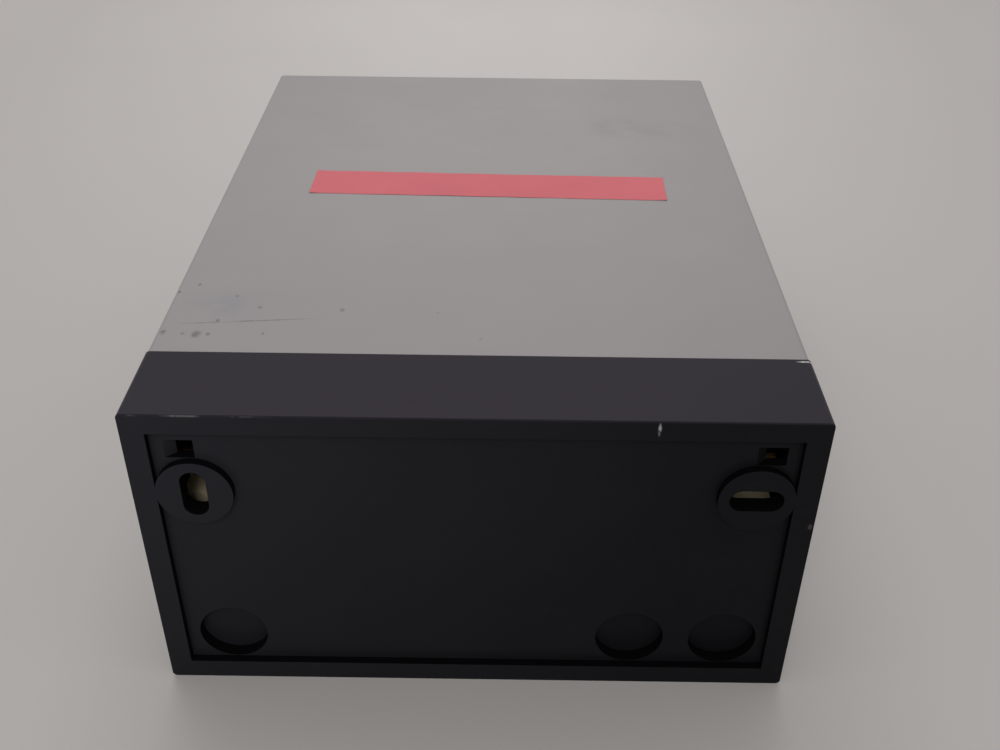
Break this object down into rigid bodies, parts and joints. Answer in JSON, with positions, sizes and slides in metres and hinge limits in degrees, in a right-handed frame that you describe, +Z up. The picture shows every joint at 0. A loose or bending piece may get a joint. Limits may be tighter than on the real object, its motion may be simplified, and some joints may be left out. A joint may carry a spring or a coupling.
{
  "type": "ph meter",
  "caption": "Bench and wall pH meter: painted sleeve, clip-on rear housing with wall slots, moving-coil meter, selector, calibration knobs and electrode sockets.",
  "frame": {"origin": "middle of the base, halfway between the front edge of the sleeve and the rear rim", "axes": "+Z up from the base, -Y out of the front panel, +Y out of the rear rim that meets a wall, +X to the right seen from the front"},
  "size_m": [0.18, 0.2572, 0.0965],
  "materials": {
    "sleeve_paint": "satin grey enamel, smudged and lightly scratched",
    "housing_black": "fine matt black moulding, worn bright at its corners",
    "tape_pink": "glossy salmon label tape",
    "panel_paint": "pale grey enamel with printed scales",
    "bezel_black": "matt black moulding",
    "passivated_steel": "yellow passivated sheet",
    "plain_steel": "turned steel",
    "screw_nickel": "nickel plated",
    "meter_black": "glossy black moulding",
    "clear_lens": "clear moulded window",
    "dial_white": "warm white printed plate",
    "magnet_steel": "dark cast magnet",
    "brass": "turned brass",
    "needle_black": "matt black",
    "coil_copper": "enamelled copper wire",
    "knob_black": "satin black moulding",
    "knob_cap": "spun aluminium insert",
    "pot_tan": "moulded phenolic with a steel cover",
    "phenolic": "tan laminate",
    "switch_black": "glossy black moulding",
    "rocker_red": "glossy red moulding",
    "socket_nickel": "nickel plated brass",
    "insulator_white": "turned white fluoropolymer",
    "contact_gold": "gold plated",
    "collar_red": "glossy red moulding",
    "board_green": "green laminate under solder mask",
    "can_tin": "tinned sheet",
    "chip_black": "matt moulded packages",
    "capacitor_blue": "heat shrunk sleeve",
    "trimmer_blue": "moulded blue",
    "cable_grey": "soft grey sheath",
    "cable_black": "soft black sheath",
    "holder_black": "matt black moulding",
    "cell_jacket": "bare ochre jacket",
    "spring_steel": "plated spring wire",
    "terminal_beige": "beige moulding"
  },
  "bodies": {
    "case": {"case_sleeve": "sleeve_paint", "rear_housing": "housing_black", "label_tape": "tape_pink", "front_bezel": "bezel_black", "front_panel": "panel_paint", "chassis": "passivated_steel", "tie_rods": "plain_steel", "rod_screws": "screw_nickel", "base_screws": "screw_nickel", "meter_case": "meter_black", "meter_lens": "clear_lens", "dial_plate": "dial_white", "meter_yoke": "magnet_steel", "pivot_bridge": "brass", "mode_switch": "plain_steel", "switch_wafers": "phenolic", "temperature_pot": "pot_tan", "buffer_pot": "pot_tan", "slope_pot": "pot_tan", "control_nuts": "screw_nickel", "rocker_housing": "switch_black", "bnc_shell": "socket_nickel", "bnc_insulator": "insulator_white", "bnc_contact": "contact_gold", "bnc_nut": "socket_nickel", "jack_collars": "collar_red", "jack_sockets": "socket_nickel", "main_board": "board_green", "board_standoffs": "brass", "board_screws": "screw_nickel", "shield_can": "can_tin", "board_chips": "chip_black", "capacitors": "capacitor_blue", "trimmers": "trimmer_blue", "board_header": "chip_black", "ribbon_cable": "cable_grey", "input_lead": "cable_black", "battery_holder": "holder_black", "battery_cells": "cell_jacket", "battery_springs": "spring_steel", "terminal_board": "phenolic", "terminal_blocks": "terminal_beige", "terminal_spacers": "brass"},
    "needle": {"meter_needle": "needle_black", "meter_coil": "coil_copper"},
    "adjuster": {"zero_adjuster": "bezel_black"},
    "mode": {"mode_knob": "knob_black", "mode_knob_cap": "knob_cap", "mode_shaft": "plain_steel"},
    "temperature": {"temperature_knob": "knob_black", "temperature_knob_cap": "knob_cap", "temperature_shaft": "plain_steel"},
    "buffer": {"buffer_knob": "knob_black", "buffer_knob_cap": "knob_cap", "buffer_shaft": "plain_steel"},
    "slope": {"slope_knob": "knob_black", "slope_knob_cap": "knob_cap", "slope_shaft": "plain_steel"},
    "rocker": {"power_rocker": "rocker_red"}
  },
  "joints": [
    {"name": "needle_swing", "type": "hinge", "parent": "case", "child": "needle", "pos_m": [-0.03, -0.1125, 0.04], "axis": [0, 1, 0], "range_deg": [-45, 45], "stiffness_Nm_per_rad": 0.0005},
    {"name": "adjuster_turn", "type": "hinge", "parent": "case", "child": "adjuster", "pos_m": [-0.03, -0.1185, 0.035], "axis": [0, 1, 0], "continuous": true},
    {"name": "mode_turn", "type": "hinge", "parent": "case", "child": "mode", "pos_m": [0.048, -0.1185, 0.063], "axis": [0, 1, 0], "range_deg": [-60, 60]},
    {"name": "temperature_turn", "type": "hinge", "parent": "case", "child": "temperature", "pos_m": [-0.044, -0.1185, 0.02], "axis": [0, 1, 0], "range_deg": [-150, 150]},
    {"name": "buffer_turn", "type": "hinge", "parent": "case", "child": "buffer", "pos_m": [-0.016, -0.1185, 0.02], "axis": [0, 1, 0], "range_deg": [-150, 150]},
    {"name": "slope_turn", "type": "hinge", "parent": "case", "child": "slope", "pos_m": [0.012, -0.1185, 0.02], "axis": [0, 1, 0], "range_deg": [-150, 150]},
    {"name": "rocker_tip", "type": "hinge", "parent": "case", "child": "rocker", "pos_m": [-0.068, -0.1165, 0.02], "axis": [-1, 0, 0], "range_deg": [0, 20]}
  ]
}
